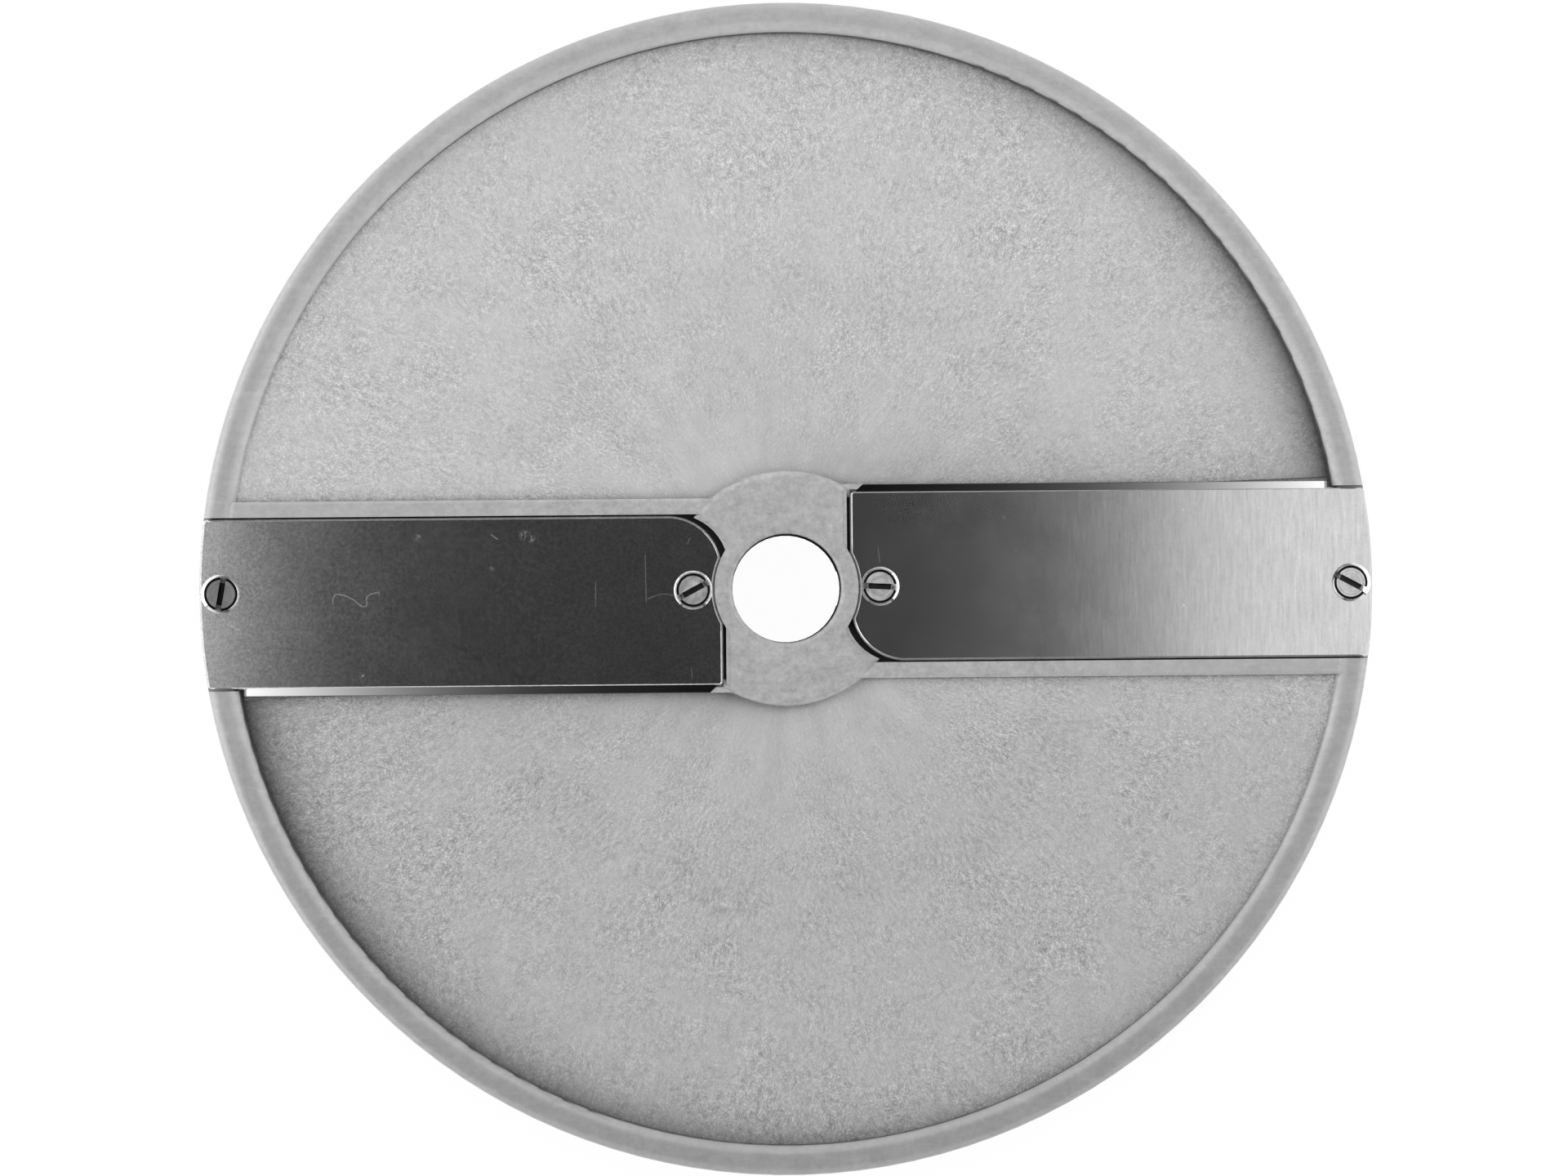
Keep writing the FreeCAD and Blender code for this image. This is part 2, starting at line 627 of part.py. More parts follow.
def make_screw(label, turn, station_x, spin):
    """Countersunk machine screw with a straight slot, its head's top at its origin."""
    body = new_body(label)
    section = new_sketch(body, "section", "XZ_Plane")
    head = sized("<head_radius>")
    shank = sized("<screw_radius>")
    neck = sized("-<head_edge> - <head_radius> + <screw_radius>")
    draw_outline(section, (
        ("0", "0"),
        (head, "0"),
        (head, sized("-<head_edge>")),
        (shank, neck),
        (shank, sized("-<screw_length> + <screw_point>")),
        (sized("<screw_radius> - <screw_point>"), sized("-<screw_length>")),
        ("0", sized("-<screw_length>")),
    ))
    add_turned(body, "Revolution", "turned", section)
    plan = new_sketch(body, "slot_plan", "XY_Plane")
    half_slot = sized("<screw_slot_width> / 2")
    past_head = sized("<head_radius> + <head_edge>")
    draw_outline(plan, (
        (f"(-{past_head})", f"(-{half_slot})"),
        (past_head, f"(-{half_slot})"),
        (past_head, half_slot),
        (f"(-{past_head})", half_slot),
    ))
    add_pocket(body, "slot", plan, sized("<screw_slot_depth>"))
    at_station(body, turn, station_x, HEAD_TOP, spin)
    return body


def make_insert(label, turn, station_x):
    """Threaded insert with a groove round its middle that locks it in the moulding."""
    body = new_body(label)
    section = new_sketch(body, "section", "XZ_Plane")
    bore = sized("<screw_radius> + <thread_clearance>")
    mouth = sized("<screw_radius> + <thread_clearance> + <insert_chamfer>")
    outer = sized("<insert_radius>")
    waist = sized("<insert_radius> - <insert_waist_depth>")
    waist_top = sized("-<insert_length> / 2 + <insert_waist_height> / 2")
    waist_foot = sized("-<insert_length> / 2 - <insert_waist_height> / 2")
    foot = sized("-<insert_length>")
    draw_outline(section, (
        (mouth, "0"),
        (outer, "0"),
        (outer, waist_top),
        (waist, waist_top),
        (waist, waist_foot),
        (outer, waist_foot),
        (outer, foot),
        (mouth, foot),
        (bore, sized("-<insert_length> + <insert_chamfer>")),
        (bore, sized("-<insert_chamfer>")),
    ))
    add_turned(body, "Revolution", "turned", section)
    at_station(body, turn, station_x, SEAT, 0)
    return body


# The two blades lie half a turn apart. Each screw's slot stopped at its own angle.
SIDES = (("right", 0, -3, -28), ("left", 180, 28, 80))

bodies = [make_disc()]
for side, turn, inner_spin, outer_spin in SIDES:
    bodies.append(make_blade(f"blade_{side}", turn))
for side, turn, inner_spin, outer_spin in SIDES:
    bodies.append(make_screw(f"screw_{side}_inner", turn, INNER_SCREW_X, inner_spin))
    bodies.append(make_screw(f"screw_{side}_outer", turn, OUTER_SCREW_X, outer_spin))
    bodies.append(make_insert(f"insert_{side}_inner", turn, INNER_SCREW_X))
    bodies.append(make_insert(f"insert_{side}_outer", turn, OUTER_SCREW_X))
doc.recompute()

# Nothing is written unless every object is sound
for thing in doc.Objects:
    if "Invalid" in thing.State or "Error" in thing.State:
        raise RuntimeError(f"{thing.Label} failed: {thing.State}")
for body in bodies:
    if body.Shape.isNull() or not body.Shape.isValid():
        raise RuntimeError(f"{body.Label} has no valid shape")
    if len(body.Shape.Solids) != 1:
        raise RuntimeError(f"{body.Label} has {len(body.Shape.Solids)} solids")

for body in bodies:
    body.Shape.exportStep(f"parts/{body.Label}.step")
    box = body.Shape.BoundBox
    print(f"{body.Label}: {body.Shape.Volume:.1f} mm3, z {box.ZMin:.2f} to {box.ZMax:.2f}")
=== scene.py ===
import math

import bpy
from mathutils import Matrix, Vector


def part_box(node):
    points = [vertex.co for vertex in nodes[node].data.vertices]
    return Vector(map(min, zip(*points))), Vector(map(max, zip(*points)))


# Looks of the slicing disc: a glass-filled moulding with two steel blades, on a white
# table between soft panels. Lengths are in metres unless a name or comment says mm.
MM = 0.001

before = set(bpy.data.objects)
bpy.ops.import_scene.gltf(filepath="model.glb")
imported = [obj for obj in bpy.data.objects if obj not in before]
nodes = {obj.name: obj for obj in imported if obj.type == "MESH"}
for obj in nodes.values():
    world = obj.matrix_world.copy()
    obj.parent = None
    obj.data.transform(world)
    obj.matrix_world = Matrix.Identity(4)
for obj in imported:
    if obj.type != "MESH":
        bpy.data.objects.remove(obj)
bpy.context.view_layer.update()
scene = bpy.context.scene

# Sizes of the solids, which the materials follow
DISC_LOW, DISC_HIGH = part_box("disc_body")
TOP_MM = DISC_HIGH.z / MM
RIM_RADIUS_MM = DISC_HIGH.x / MM
RIM_WIDTH_MM = 5.25
RIM_HEIGHT_MM = 9.0
RIM_INNER_MM = RIM_RADIUS_MM - RIM_WIDTH_MM
RIM_FOOT_MM = TOP_MM - RIM_HEIGHT_MM
HUB_RADIUS_MM = 20.5
BORE_RADIUS_MM = 9.5
DEEPEST_FLOOR_MM = 4.0
# Where a spoke ends, beside the X axis: at the rib behind its blade, and at the lip of
# the slot ahead of the blade's edge
RIB_EDGE_MM = 15.85
LIP_MM = 18.12
HEAD_TOP_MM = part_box("screw_right_inner")[1].z / MM
HEAD_RADIUS_MM = 2.7
SLOT_HALF_WIDTH_MM = 0.5
# Angle from X, in degrees, at which each screw's slot stopped
SLOT_ANGLES = {
    "screw_right_inner": -3.0,
    "screw_right_outer": -28.0,
    "screw_left_inner": 28.0,
    "screw_left_outer": 80.0,
}

# Most of a noise lies between these
NOISE_LOW = 0.3
NOISE_HIGH = 0.7


# Shader building
class Shader:
    """A material's node tree, with short calls that add its nodes."""

    def __init__(self, name):
        self.material = bpy.data.materials.new(name)
        self.material.use_nodes = True
        self.tree = self.material.node_tree
        self.tree.nodes.clear()
        self.output = self.tree.nodes.new("ShaderNodeOutputMaterial")
        # Place on the object, in mm
        self.place = self.scaled(self.add("ShaderNodeTexCoord").outputs["Object"], 1.0 / MM)
        self.x, self.y, self.z = self.separate(self.place)

    def feed(self, socket, value):
        if isinstance(value, bpy.types.NodeSocket):
            self.tree.links.new(value, socket)
        else:
            socket.default_value = value

    def add(self, kind, inputs=(), **settings):
        node = self.tree.nodes.new(kind)
        for name, value in settings.items():
            setattr(node, name, value)
        for key, value in dict(inputs).items():
            self.feed(node.inputs[key], value)
        return node

    def math(self, operation, *values, clamp=False):
        node = self.add("ShaderNodeMath", enumerate(values), operation=operation, use_clamp=clamp)
        return node.outputs[0]

    def chain(self, operation, first, others):
        for other in others:
            first = self.math(operation, first, other)
        return first

    def product(self, first, *others):
        return self.chain("MULTIPLY", first, others)

    def total(self, first, *others):
        return self.chain("ADD", first, others)

    def highest(self, first, *others):
        return self.chain("MAXIMUM", first, others)

    def less(self, first, second):
        return self.math("SUBTRACT", first, second)

    def darkened(self, colour, mask, share=1.0):
        """Colour, less that share of it where mask is 1."""
        return self.product(colour, self.math("MULTIPLY_ADD", mask, -share, 1.0))

    def vector(self, operation, *values):
        node = self.add("ShaderNodeVectorMath", enumerate(values), operation=operation)
        return node.outputs["Value" if operation in ("LENGTH", "DOT_PRODUCT") else "Vector"]

    def scaled(self, vector, factor):
        node = self.add("ShaderNodeVectorMath", {"Vector": vector, "Scale": factor}, operation="SCALE")
        return node.outputs["Vector"]

    def combine(self, x, y, z):
        return self.add("ShaderNodeCombineXYZ", {"X": x, "Y": y, "Z": z}).outputs[0]

    def separate(self, vector):
        return self.add("ShaderNodeSeparateXYZ", {"Vector": vector}).outputs

    def flat_length(self, x, y):
        return self.vector("LENGTH", self.combine(x, y, 0.0))

    def mapped(self, kind, value, low, high, start, end):
        inputs = {
            "Value": value,
            "From Min": low,
            "From Max": high,
            "To Min": start,
            "To Max": end,
        }
        return self.add("ShaderNodeMapRange", inputs, interpolation_type=kind).outputs[0]

    def ramp(self, value, low, high, start=0.0, end=1.0):
        """Smooth step from start to end while value goes from low to high."""
        return self.mapped("SMOOTHSTEP", value, low, high, start, end)

    def span(self, value, low, high, start, end):
        """Straight line from start to end while value goes from low to high."""
        return self.mapped("LINEAR", value, low, high, start, end)

    def noise(self, vector, scale=1.0, detail=2.0, roughness=0.5, colour=False):
        inputs = {"Vector": vector, "Scale": scale, "Detail": detail, "Roughness": roughness}
        node = self.add("ShaderNodeTexNoise", inputs)
        return node.outputs["Color" if colour else "Fac"]

    def drawn_noise(self, first, first_length, second, second_length, third, detail, roughness):
        """Noise whose grains have those lengths along the first two directions."""
        across = self.math("DIVIDE", first, first_length)
        along = self.math("DIVIDE", second, second_length)
        return self.noise(self.combine(across, along, third), 1.0, detail, roughness)

    def spread(self, noise, start, end):
        """Number that goes from start to end with the noise."""
        return self.ramp(noise, NOISE_LOW, NOISE_HIGH, start, end)

    def centred(self, noise, swing):
        """Noise as a change of up to half the swing either way."""
        return self.math("MULTIPLY_ADD", noise, swing, -swing / 2.0)

    def fade(self, gap_mm, reach_mm):
        """1 at no gap, falling off with the gap."""
        return self.math("EXPONENT", self.math("DIVIDE", gap_mm, -reach_mm))

    def blend(self, factor, first, second):
        """Number between first and second."""
        node = self.add("ShaderNodeMix", data_type="FLOAT")
        self.feed(node.inputs["Factor"], factor)
        self.feed(node.inputs["A"], first)
        self.feed(node.inputs["B"], second)
        return node.outputs["Result"]

    def grey(self, value):
        return self.combine(value, value, value)

    def bump(self, height_mm, strength=1.0, normal=None):
        inputs = {"Height": height_mm, "Distance": MM, "Strength": strength}
        if normal is not None:
            inputs["Normal"] = normal
        return self.add("ShaderNodeBump", inputs).outputs["Normal"]

    def surface(self, colour, roughness, normal, **sockets):
        inputs = {"Base Color": colour, "Roughness": roughness, "Normal": normal}
        for name, value in sockets.items():
            inputs[name.replace("_", " ")] = value
        node = self.add("ShaderNodeBsdfPrincipled", inputs)
        self.tree.links.new(node.outputs[0], self.output.inputs["Surface"])
        return self.material


# Moulding
def rounding(edge_radius, edge_level, size, outward, upward):
    """Section arc of an edge that is rounded about the axis, in mm: radius and height of
    the arc's centre, its own radius, and 1 or -1 for outwards or inwards, up or down."""
    return edge_radius - size * outward, edge_level - size * upward, size, outward, upward


ROUNDINGS_MM = (
    rounding(RIM_RADIUS_MM, TOP_MM, 1.9, 1.0, 1.0),
    rounding(RIM_INNER_MM, TOP_MM, 1.6, -1.0, 1.0),
    rounding(HUB_RADIUS_MM, TOP_MM, 1.0, 1.0, 1.0),
    rounding(BORE_RADIUS_MM, TOP_MM, 0.8, -1.0, 1.0),
    rounding(RIM_RADIUS_MM, RIM_FOOT_MM, 0.5, 1.0, -1.0),
    rounding(RIM_INNER_MM, RIM_FOOT_MM, 0.5, -1.0, -1.0),
)
ROUNDING_REACH_MM = 0.25
# How far a face's own normal has to agree with the rounding's, as a cosine
ROUNDING_AGREEMENT = 0.6

# Swirls in the melt's flow: fineness of the noise for each mm, and strength in mm
SWIRLS = ((0.07, 5.0), (0.33, 1.3), (0.95, 0.4))
FIBRE_LENGTH_MM = 0.46
FIBRE_WIDTH_MM = 0.25
# Two layers of fibres: lean off the flow in degrees, and seed
FIBRE_LAYERS = ((-20.0, 3.0), (18.0, 7.0))
# Radii at which the inner and the outer fibres have their true width, and between
# which the inner ones give way
INNER_FLOW_MM = 34.0
OUTER_FLOW_MM = 76.0
FLOW_CHANGE_MM = (44.0, 62.0)
FIBRE_CONTRAST = 0.15

# Grey of the smooth faces, and what the floors and their patches add to it
PLASTIC_TONES = (0.382, 0.412)
FLOOR_TONE = 0.065
PATCH_TONE = 0.075
SPECK_SWING = 0.44
# Painted shade taken off the near floor, and painted light that makes the far floor paler
NEAR_FLOOR_SHADE = 0.085
FAR_FLOOR_LIGHT = -0.045
# How dark the painted shade in the blade pockets and the bore is
HOLLOW_SHADE_DARKNESS = 0.94
SMOOTH_ROUGHNESS = (0.28, 0.36)
FLOOR_ROUGHNESS = 0.55
HOLLOW_ROUGHNESS = 0.8
SPECULAR_LEVEL = 0.45
GRAIN_HEIGHT_MM = 0.04
PEEL_HEIGHT_MM = 0.008


class Moulding(Shader):
    """Grey plastic: short glass fibres fan out from the hub over the sloping floors,
    and the rim, hub and ribs are smoother. Painted shade darkens the floors' corners."""

    def __init__(self):
        super().__init__("moulding")
        self.radius = self.flat_length(self.x, self.y)
        self.depth = self.less(TOP_MM, self.z)
        self.floor = self.floor_mask()
        self.reach, self.angle = self.swirled_flow()
        self.strand = self.strands()
        self.mottle = self.noise(self.place, 0.22, 3.0, 0.55)
        # Distances from the rim, the rib behind a blade, the slot's lip and the hub
        across = self.product(self.math("SIGN", self.x), self.y)
        self.rim_gap = self.highest(self.less(RIM_INNER_MM, self.radius), 0.0)
        self.rib_gap = self.less(self.product(across, -1.0), RIB_EDGE_MM)
        self.lip_gap = self.less(across, LIP_MM)
        self.hub_gap = self.less(self.radius, HUB_RADIUS_MM)

    def floor_mask(self):
        """1 on the sloping floors, 0 on the rim, the hub, the ribs and all walls."""
        facing = self.separate(self.add("ShaderNodeNewGeometry").outputs["True Normal"])[2]
        lowered = self.ramp(self.depth, 0.4, 0.5)
        flat = self.ramp(self.math("ABSOLUTE", facing), 0.7, 0.9)
        outside_hub = self.ramp(self.radius, HUB_RADIUS_MM - 0.1, HUB_RADIUS_MM + 0.5)
        inside_rim = self.ramp(self.radius, RIM_INNER_MM - 0.1, RIM_INNER_MM, 1.0, 0.0)
        return self.product(lowered, flat, outside_hub, inside_rim)

    def swirled_flow(self):
        """Distance from the axis and angle about it, swirled as the melt flowed."""
        swirled = self.place
        for fineness, strength in SWIRLS:
            wander = self.noise(self.place, fineness, 1.0, colour=True)
            wander = self.vector("SUBTRACT", wander, (0.5, 0.5, 0.5))
            swirled = self.vector("ADD", swirled, self.scaled(wander, strength))
        x, y = self.separate(swirled)[:2]
        return self.flat_length(x, y), self.math("ARCTAN2", y, x)

    def fibre_layer(self, middle_mm, lean_degrees, seed):
        """Noise drawn out along the flow, or a few degrees off it."""
        lean = math.radians(lean_degrees)
        flow = self.product(self.angle, middle_mm)
        along = self.total(self.product(self.reach, math.cos(lean)), self.product(flow, math.sin(lean)))
        across = self.less(self.product(flow, math.cos(lean)), self.product(self.reach, math.sin(lean)))
        return self.drawn_noise(along, FIBRE_LENGTH_MM, across, FIBRE_WIDTH_MM, seed, 1.0, 0.5)

    def strands(self):
        """Strands of fibre, about as wide near the hub as near the rim."""
        near_rim = self.ramp(self.radius, *FLOW_CHANGE_MM)
        layers = []
        for lean, seed in FIBRE_LAYERS:
            inner = self.fibre_layer(INNER_FLOW_MM, lean, seed)
            outer = self.fibre_layer(OUTER_FLOW_MM, lean, seed + 1.0)
            layers.append(self.blend(near_rim, inner, outer))
        return self.highest(*layers)

    def fibres(self):
        """How much the fibres lighten or darken each place: threads and felt, in clouds
        and streaks of more or fewer fibres, and fainter near the hub."""
        flow = self.product(self.angle, OUTER_FLOW_MM)
        felt = self.drawn_noise(self.reach, 1.3, flow, 1.0, 2.0, 4.0, 0.72)
        threads = self.ramp(self.strand, 0.48, 0.76)
        fibre = self.total(self.math("MULTIPLY_ADD", threads, 1.5, -0.6),
                           self.span(felt, 0.34, 0.66, -0.75, 0.75))
        clouds = self.noise(self.place, 0.16, 3.0, 0.6)
        streaks = self.drawn_noise(self.reach, 34.0, self.angle, 1.0 / 2.6, 5.0, 2.0, 0.5)
        density = self.total(self.ramp(clouds, 0.34, 0.66), self.ramp(streaks, 0.35, 0.7))
        density = self.math("MULTIPLY_ADD", density, 0.42, 0.36)
        fainter = self.ramp(self.radius, 18.0, 50.0, 0.35, 1.0)
        return self.product(fibre, density, fainter, self.floor)

    def plastic(self):
        """Grey of the plastic itself."""
        tone = self.spread(self.mottle, *PLASTIC_TONES)
        patches = self.noise(self.place, 0.35, 3.0, 0.6)
        tone = self.math("MULTIPLY_ADD", self.floor, FLOOR_TONE, tone)
        tone = self.math("MULTIPLY_ADD", self.product(patches, self.floor), PATCH_TONE, tone)

        # Specks on the smooth faces, fewer towards the rim, and faint marks of wiping
        specks = self.centred(self.noise(self.place, 0.8, 5.0, 0.75), SPECK_SWING)
        specks = self.product(specks, self.ramp(self.radius, 30.0, 90.0, 1.0, 0.45))
        wiped = self.drawn_noise(self.x, 7.0, self.y, 1.1, 1.0, 3.0, 0.6)
        wiped = self.ramp(wiped, 0.5, 0.75, 0.0, 0.035)
        smooth = self.less(1.0, self.floor)
        tone = self.total(tone, self.product(self.total(specks, wiped), smooth))

        # Streaks that fan out from the hub, with painted shade making the far floor near the hub a
        # little darker
        fan = self.drawn_noise(self.reach, 30.0, self.angle, 1.0 / 7.0, 8.0, 2.0, 0.6)
        fan = self.span(fan, 0.35, 0.65, -0.024, 0.024)
        fan = self.less(fan, self.span(self.y, 5.0, 25.0, 0.0, 0.026))
        near_hub = self.ramp(self.radius, 26.0, 66.0, 1.0, 0.15)
        tone = self.math("MULTIPLY_ADD", fan, self.product(near_hub, self.floor), tone)
        # Painted shade on the near floor and painted light on the far floor
        floor_light_and_shade = self.product(self.span(self.y, -30.0, 10.0, NEAR_FLOOR_SHADE, FAR_FLOOR_LIGHT), self.floor)
        return self.darkened(tone, floor_light_and_shade)

    def with_painted_corner_shade(self, colour):
        """Colour with painted shade: wide and dark in the deep corner at the rim, more on the near
        side, narrow at the hub, ribs and lips; the rim is darker too, in part painted shade."""
        # The rim a little darker all round, and painted shade makes it darker towards the near side
        on_rim = self.ramp(self.radius, RIM_INNER_MM - 0.1, RIM_INNER_MM + 0.1)
        rim_tone_and_shade = self.ramp(self.y, -RIM_RADIUS_MM, 20.0, 0.20, 0.10)
        colour = self.darkened(colour, self.product(on_rim, rim_tone_and_shade))

        # Painted shade in the deep corner at the rim, stronger on the near side
        deep = self.math("POWER", self.math("DIVIDE", self.depth, DEEPEST_FLOOR_MM), 1.6)
        shade_towards_near = self.span(self.y, -RIM_INNER_MM, RIM_INNER_MM, 1.0, 0.65)
        corner_shade = self.product(deep, shade_towards_near, self.fade(self.rim_gap, 3.6))
        wall_shade = self.product(
            self.ramp(self.radius, RIM_INNER_MM - 0.1, RIM_INNER_MM, 0.0, 0.8),
            self.ramp(self.depth, 0.95, 1.6),
        )
        above_floor = self.product(
            self.ramp(self.radius, RIM_INNER_MM + 0.6, RIM_INNER_MM + 1.1, 1.0, 0.0),
            self.ramp(self.depth, DEEPEST_FLOOR_MM + 0.1, DEEPEST_FLOOR_MM + 0.3, 1.0, 0.0),
        )
        shade = self.product(self.highest(corner_shade, wall_shade), above_floor)
        colour = self.darkened(colour, shade)

        # Each edge with the reach of its painted shade in mm, and the strength
        ragged = self.centred(self.strand, 1.2)
        for gap, reach_mm, strength in (
            (self.rim_gap, 0.45, 0.35),
            (self.rib_gap, 0.8, 0.45),
            (self.lip_gap, 0.9, 0.48),
            (self.hub_gap, 0.9, 0.40),
        ):
            beyond = self.math("GREATER_THAN", gap, -0.01)
            near = self.highest(self.total(gap, ragged), 0.0)
            narrow = self.product(self.fade(near, reach_mm), beyond, self.floor)
            colour = self.darkened(colour, narrow, strength)
        return colour

    def hollow_shade(self):
        """1 where painted shade darkens the blade pockets and the bore's wall."""
        in_spoke = self.product(
            self.math("GREATER_THAN", self.rib_gap, -2.0 * RIB_EDGE_MM),
            self.math("LESS_THAN", self.rib_gap, 0.0),
            self.math("LESS_THAN", self.lip_gap, 0.15),
        )
        sunk = self.product(self.ramp(self.depth, 0.25, 0.7), self.ramp(self.depth, 5.0, 6.0, 1.0, 0.0))
        between = self.product(
            self.ramp(self.radius, BORE_RADIUS_MM + 1.0, BORE_RADIUS_MM + 1.5),
            self.ramp(self.radius, RIM_RADIUS_MM - 1.5, RIM_RADIUS_MM - 1.0, 1.0, 0.0),
        )
        in_bore = self.product(
            self.ramp(self.radius, BORE_RADIUS_MM + 0.1, BORE_RADIUS_MM + 0.3, 1.0, 0.0),
            self.ramp(self.depth, 0.5, 0.9),
        )
        return self.highest(self.product(in_spoke, sunk, between), in_bore)

    def shoulder_wear_and_highlight(self):
        """How much paler the rim's shoulders are: partly rubbed wear, partly painted highlight."""
        inner_band = self.product(
            self.ramp(self.radius, RIM_INNER_MM - 0.05, RIM_INNER_MM + 0.15),
            self.ramp(self.radius, RIM_INNER_MM + 0.9, RIM_INNER_MM + 2.1, 1.0, 0.0),
        )
        outer_band = self.ramp(self.radius, RIM_RADIUS_MM - 2.2, RIM_RADIUS_MM - 1.2, 0.0, 0.3)
        strength = self.less(self.span(self.y, -100.0, 20.0, 0.18, 0.38),
                             self.span(self.y, 20.0, 100.0, 0.0, 0.12))
        on_top = self.ramp(self.depth, 1.2, 1.6, 1.0, 0.0)
        return self.product(self.highest(inner_band, outer_band), strength, on_top)

    def rounded_normal(self):
        """Surface normal, made exact on the turned roundings."""
        geometry = self.add("ShaderNodeNewGeometry").outputs
        normal = geometry["Normal"]
        for centre_radius, centre_level, arc_radius, outward, upward in ROUNDINGS_MM:
            out = self.less(self.radius, centre_radius)
            up = self.less(self.z, centre_level)
            share = self.math("DIVIDE", out, self.radius)
            arm = self.combine(self.product(self.x, share), self.product(self.y, share), up)
            offset = self.math("ABSOLUTE", self.less(self.vector("LENGTH", arm), arc_radius))
            exact = self.vector("NORMALIZE", arm)
            alike = self.vector("DOT_PRODUCT", exact, geometry["True Normal"])
            here = self.product(
                self.math("LESS_THAN", offset, ROUNDING_REACH_MM),
                self.math("GREATER_THAN", alike, ROUNDING_AGREEMENT),
                self.math("GREATER_THAN", self.product(out, outward), -0.01),
                self.math("GREATER_THAN", self.product(up, upward), -0.01),
            )
            change = self.scaled(self.vector("SUBTRACT", exact, normal), here)
            normal = self.vector("ADD", normal, change)
        return normal

    def make(self):
        hollow_shade = self.hollow_shade()
        colour = self.math("MULTIPLY_ADD", self.fibres(), FIBRE_CONTRAST, self.plastic())
        # Painted shade in the floors' corners, in the blade pockets and in the bore
        colour = self.darkened(self.with_painted_corner_shade(colour), hollow_shade, HOLLOW_SHADE_DARKNESS)
        # Painted highlight on the rim's shoulders, along with their wear
        colour = self.product(colour, self.total(self.shoulder_wear_and_highlight(), 1.0))
        roughness = self.blend(self.floor, self.spread(self.mottle, *SMOOTH_ROUGHNESS), FLOOR_ROUGHNESS)
        roughness = self.blend(hollow_shade, roughness, HOLLOW_ROUGHNESS)
        grain = self.product(self.strand, self.floor, GRAIN_HEIGHT_MM)
        peel = self.product(self.noise(self.place, 0.9, 2.0, 0.5), PEEL_HEIGHT_MM)
        normal = self.bump(self.total(grain, peel), 0.6, self.rounded_normal())
        return self.surface(self.grey(colour), roughness, normal, Specular_IOR_Level=SPECULAR_LEVEL)


# Marks on the blades, in mm: fine scratches, and curls of lint that lie on the steel,
# each a chain of points, and smudges, each a place and a radius
SCRATCHES_MM = {
    "right": (((16.0, 7.0), (16.3, 4.4)), ((60.0, 8.0), (60.6, 7.2))),
    "left": (
        ((-24.6, 6.1), (-24.5, -2.2)),
        ((-33.3, 1.4), (-33.3, -2.9)),
        ((-92.7, 0.5), (-92.8, -3.2)),
        ((-89.5, 6.2), (-89.5, 4.7)),
        ((-16.8, 8.9), (-17.2, 7.9)),
        ((-16.7, -13.8), (-16.6, -15.6)),
        ((-24.2, -1.7), (-22.9, -1.1), (-21.4, -0.8), (-19.9, -1.1)),
    ),
}
LINT_MM = {
    "right": (((40.0, 6.4), (40.3, 6.2)),),
    "left": (
        (
            (-79.0, -2.1), (-79.1, -1.3), (-78.6, -0.4), (-77.9, -0.5), (-76.8, -0.7),
            (-75.3, -1.5), (-74.0, -2.6), (-73.1, -2.3), (-73.3, -1.2), (-72.6, -0.5),
            (-71.6, -0.2), (-71.0, -0.1), (-71.1, -0.5),
        ),
        ((-51.4, 9.8), (-50.8, 9.3), (-50.3, 9.0)),
        (
            (-98.4, -4.1), (-98.0, -4.8), (-97.3, -5.7), (-96.4, -5.9), (-96.2, -5.0),
            (-97.1, -5.1), (-96.5, -6.0), (-95.2, -6.5),
        ),
    ),
}
SMUDGES_MM = {
    "right": ((38.0, 12.0, 0.5), (75.0, -6.0, 0.6)),
    "left": (
        (-64.2, 9.4, 0.8),
        (-45.6, 9.7, 1.3),
        (-44.3, 9.0, 0.9),
        (-74.0, -14.7, 0.6),
        (-51.5, 3.8, 0.7),
    ),
}
SCRATCH_HALF_WIDTH_MM = 0.13
LINT_HALF_WIDTH_MM = 0.17
# How much of each mark is dull matter instead of bare metal
SCRATCH_DULLNESS = 0.12
LINT_DULLNESS = 0.22
SMUDGE_DULLNESS = 0.14
# Width and length of the grinding lines
FINE_LINE_MM = (0.32, 3.4)
COARSE_LINE_MM = (0.72, 6.5)
BLADE_ROUGHNESS = (0.139, 0.147)
# What the painted shade at the foot of a countersink takes away, and what the painted shade in the slot
# and on the edge of a screw's head takes away
FOOT_SHADE_DARKNESS = 0.92
HEAD_SHADE_DARKNESS = 0.95


